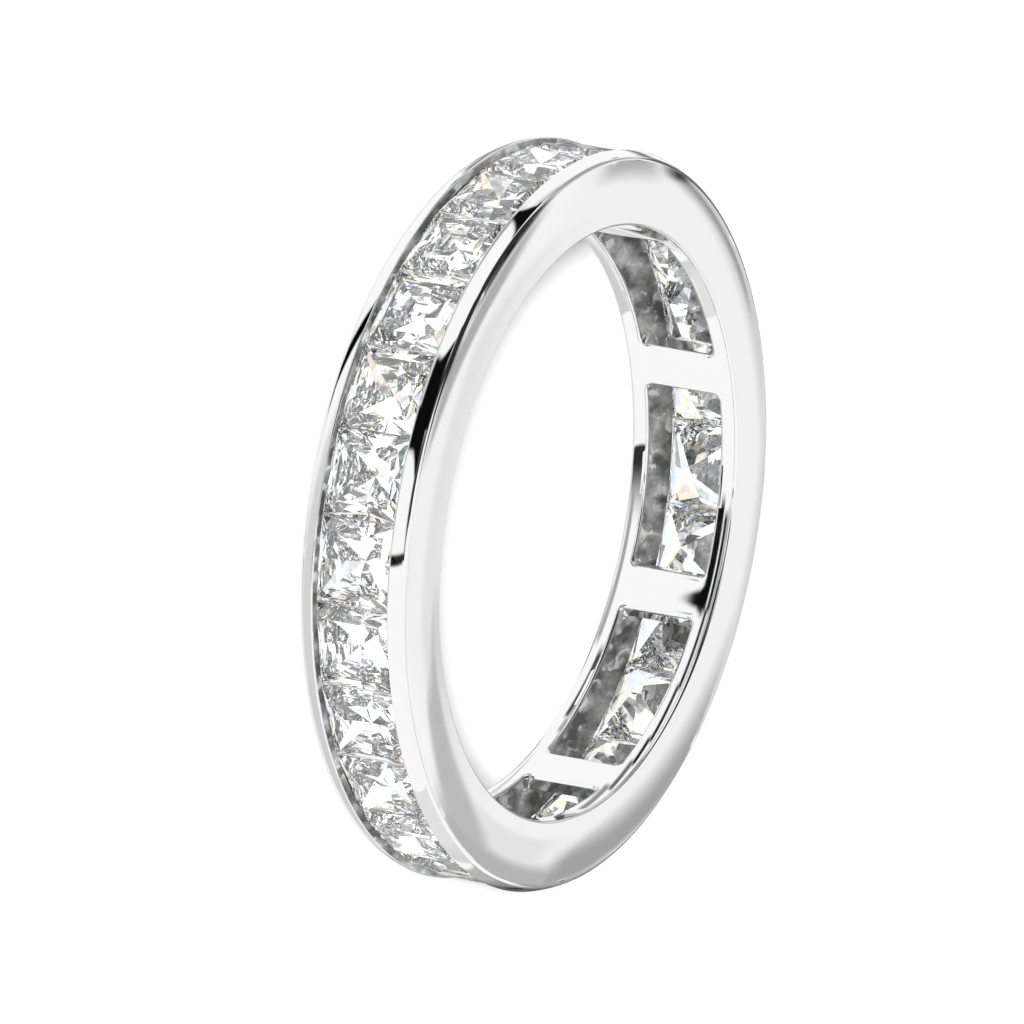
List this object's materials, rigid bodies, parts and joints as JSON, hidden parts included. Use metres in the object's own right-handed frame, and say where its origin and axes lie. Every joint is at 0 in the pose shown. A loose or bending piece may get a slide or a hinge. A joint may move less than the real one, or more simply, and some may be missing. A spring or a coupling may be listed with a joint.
{
  "type": "channel-set full eternity band ring",
  "caption": "Polished white metal band ring with square stones channel-set all the way round, and windows cut through to the finger hole behind them.",
  "frame": {"origin": "on the ring's axis, level with the side face that the ring lies on", "axes": "+Z along the ring's axis, away from the surface that it lies on; +X towards the ring's top in the picture"},
  "size_m": [0.0216, 0.0216, 0.0035],
  "materials": {
    "white_metal": "mirror polish outside, dull as cast on the channel's walls",
    "stone": "cut and polished facets"
  },
  "bodies": {
    "root": {"band": "white_metal", "princess_stone_01": "stone", "princess_stone_02": "stone", "princess_stone_03": "stone", "princess_stone_04": "stone", "princess_stone_05": "stone", "princess_stone_06": "stone", "princess_stone_07": "stone", "princess_stone_08": "stone", "princess_stone_09": "stone", "princess_stone_10": "stone", "princess_stone_11": "stone", "princess_stone_12": "stone", "princess_stone_13": "stone", "princess_stone_14": "stone", "princess_stone_15": "stone", "princess_stone_16": "stone", "princess_stone_17": "stone", "princess_stone_18": "stone", "princess_stone_19": "stone", "princess_stone_20": "stone", "princess_stone_21": "stone", "princess_stone_22": "stone", "princess_stone_23": "stone", "princess_stone_24": "stone", "princess_stone_25": "stone", "princess_stone_26": "stone"}
  },
  "joints": []
}
